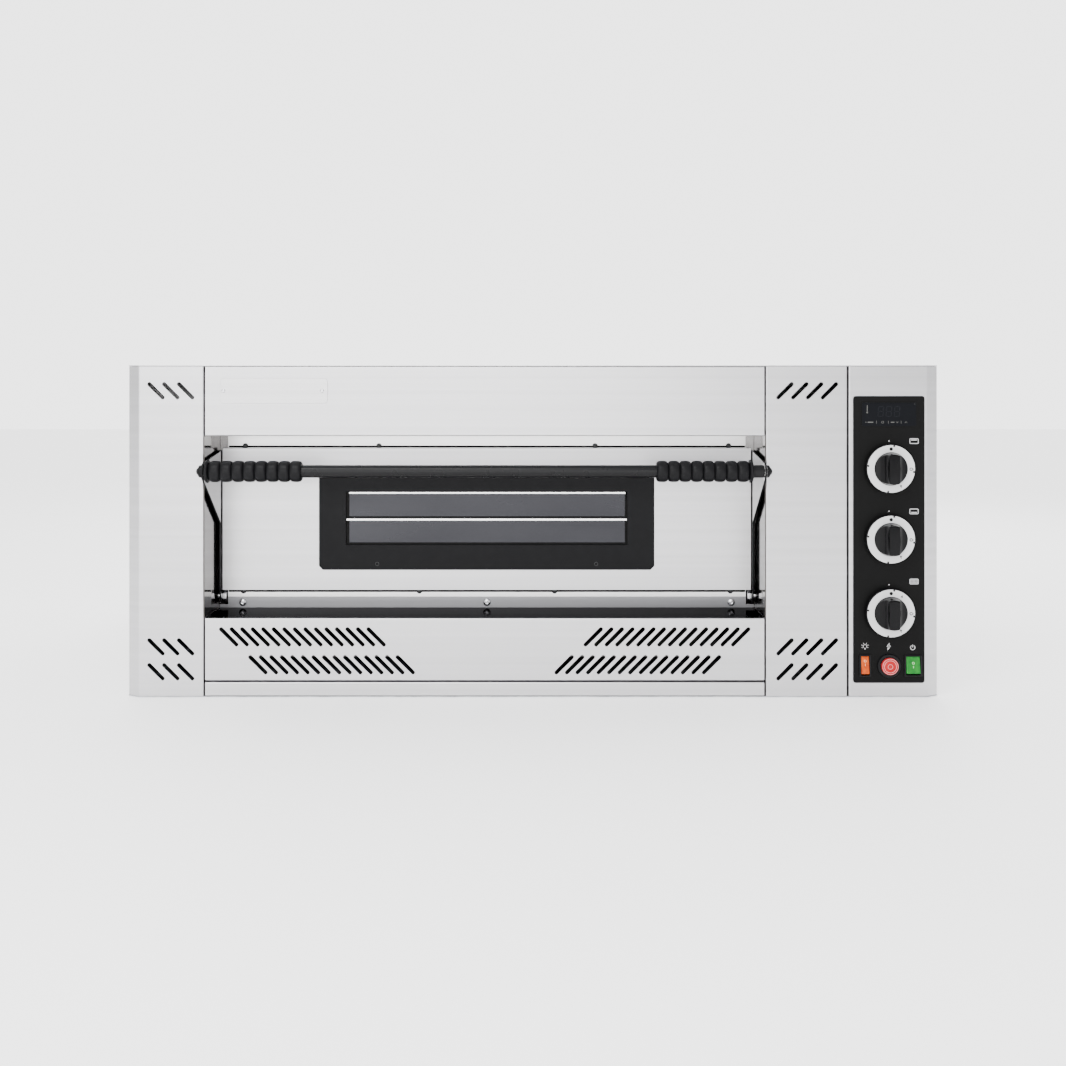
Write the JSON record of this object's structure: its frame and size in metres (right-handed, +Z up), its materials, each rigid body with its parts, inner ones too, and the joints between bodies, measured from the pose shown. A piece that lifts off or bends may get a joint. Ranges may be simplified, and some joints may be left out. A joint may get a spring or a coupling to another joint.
{
  "type": "deck oven",
  "caption": "Single-deck gas oven with a drop-down windowed door, a full-width handle with turning grips, a refractory floor and a column of gas controls.",
  "frame": {"origin": "on the surface the oven stands on, below the middle of its whole box, handle and flue included", "axes": "+X to the right seen from the front, +Z up, and the door faces -Y"},
  "size_m": [1.305, 0.9606, 0.533],
  "materials": {
    "brushed_steel": "fine horizontal brushing",
    "polished_steel": "bright annealed",
    "galvanised": "zinc-coated sheet, dull",
    "refractory": "rough fired clay",
    "mineral_wool": "fibrous board",
    "clear_glass": "smooth, lightly smoked",
    "brass": "machined",
    "black_plastic": "fine satin moulding",
    "black_enamel": "satin black powder coat",
    "orange_lens": "translucent gloss",
    "green_lens": "translucent gloss",
    "red_button": "gloss moulding"
  },
  "bodies": {
    "cabinet": {"base_pan": "galvanised", "left_casing": "brushed_steel", "right_casing": "brushed_steel", "vent_column": "brushed_steel", "header_panel": "brushed_steel", "lower_grille": "brushed_steel", "plinth": "brushed_steel", "top_cover": "brushed_steel", "rear_panel": "galvanised", "name_plate": "brushed_steel", "bay_cheek_left": "polished_steel", "bay_cheek_right": "polished_steel", "mouth_frame": "brushed_steel", "sill_bar": "brushed_steel", "chamber_shell": "galvanised", "stone_left": "refractory", "stone_right": "refractory", "insulation_wrap": "mineral_wool", "insulation_back": "mineral_wool", "flue_spigot": "galvanised", "lamp_housing": "galvanised", "lamp_glass": "clear_glass", "upper_burner": "galvanised", "rear_burner": "galvanised", "front_burner": "galvanised", "gas_manifold": "galvanised", "gas_inlet": "brass", "cable_gland": "black_plastic", "top_valve_body": "brass", "middle_valve_body": "brass", "bottom_valve_body": "brass", "control_overlay": "black_plastic", "display_lens": "clear_glass", "controller_box": "black_plastic", "light_switch_body": "black_plastic", "power_switch_body": "black_plastic", "igniter_body": "black_plastic", "hinge_pin_left": "polished_steel", "hinge_pin_right": "polished_steel"},
    "door": {"door_skin": "brushed_steel", "door_liner": "galvanised", "window_frame": "black_enamel", "window_glass": "clear_glass", "inner_glass": "clear_glass", "door_arm_left": "black_enamel", "door_arm_right": "black_enamel", "handle_bar": "black_enamel", "handle_cap_left": "black_enamel", "handle_cap_right": "black_enamel"},
    "left_grip": {"handle_grip_left": "black_plastic"},
    "right_grip": {"handle_grip_right": "black_plastic"},
    "top_valve": {"top_valve_plug": "brass"},
    "top_knob": {"top_knob": "black_plastic"},
    "middle_valve": {"middle_valve_plug": "brass"},
    "middle_knob": {"middle_knob": "black_plastic"},
    "bottom_valve": {"bottom_valve_plug": "brass"},
    "bottom_knob": {"bottom_knob": "black_plastic"},
    "light_rocker": {"light_rocker": "orange_lens"},
    "power_rocker": {"power_rocker": "green_lens"},
    "igniter_button": {"igniter_button": "red_button"}
  },
  "joints": [
    {"name": "door_hinge", "type": "hinge", "parent": "cabinet", "child": "door", "pos_m": [-0.0775, -0.33975, 0.147], "axis": [1, 0, 0], "range_deg": [0, 90]},
    {"name": "left_grip_spin", "type": "hinge", "parent": "door", "child": "left_grip", "pos_m": [-0.0775, -0.46175, 0.364], "axis": [1, 0, 0], "continuous": true},
    {"name": "right_grip_spin", "type": "hinge", "parent": "door", "child": "right_grip", "pos_m": [-0.0775, -0.46175, 0.364], "axis": [1, 0, 0], "continuous": true},
    {"name": "top_knob_turn", "type": "hinge", "parent": "cabinet", "child": "top_valve", "pos_m": [0.571, -0.4476, 0.3674], "axis": [0, -1, 0], "range_deg": [0, 150]},
    {"name": "top_knob_push", "type": "slide", "parent": "top_valve", "child": "top_knob", "axis": [0, 1, 0], "range_m": [0, 0.005], "stiffness_N_per_m": 900, "springref_m": -0.002},
    {"name": "middle_knob_turn", "type": "hinge", "parent": "cabinet", "child": "middle_valve", "pos_m": [0.571, -0.4476, 0.2547], "axis": [0, -1, 0], "range_deg": [0, 150]},
    {"name": "middle_knob_push", "type": "slide", "parent": "middle_valve", "child": "middle_knob", "axis": [0, 1, 0], "range_m": [0, 0.005], "stiffness_N_per_m": 900, "springref_m": -0.002},
    {"name": "bottom_knob_turn", "type": "hinge", "parent": "cabinet", "child": "bottom_valve", "pos_m": [0.571, -0.4476, 0.137], "axis": [0, -1, 0], "range_deg": [0, 150]},
    {"name": "bottom_knob_push", "type": "slide", "parent": "bottom_valve", "child": "bottom_knob", "axis": [0, 1, 0], "range_m": [0, 0.005], "stiffness_N_per_m": 900, "springref_m": -0.002},
    {"name": "light_rocker_tilt", "type": "hinge", "parent": "cabinet", "child": "light_rocker", "pos_m": [0.5325, -0.43575, 0.051], "axis": [1, 0, 0], "range_deg": [0, 20]},
    {"name": "power_rocker_tilt", "type": "hinge", "parent": "cabinet", "child": "power_rocker", "pos_m": [0.6095, -0.43575, 0.051], "axis": [1, 0, 0], "range_deg": [0, 20]},
    {"name": "igniter_push", "type": "slide", "parent": "cabinet", "child": "igniter_button", "axis": [0, 1, 0], "range_m": [0, 0.004], "stiffness_N_per_m": 600, "springref_m": -0.002}
  ]
}
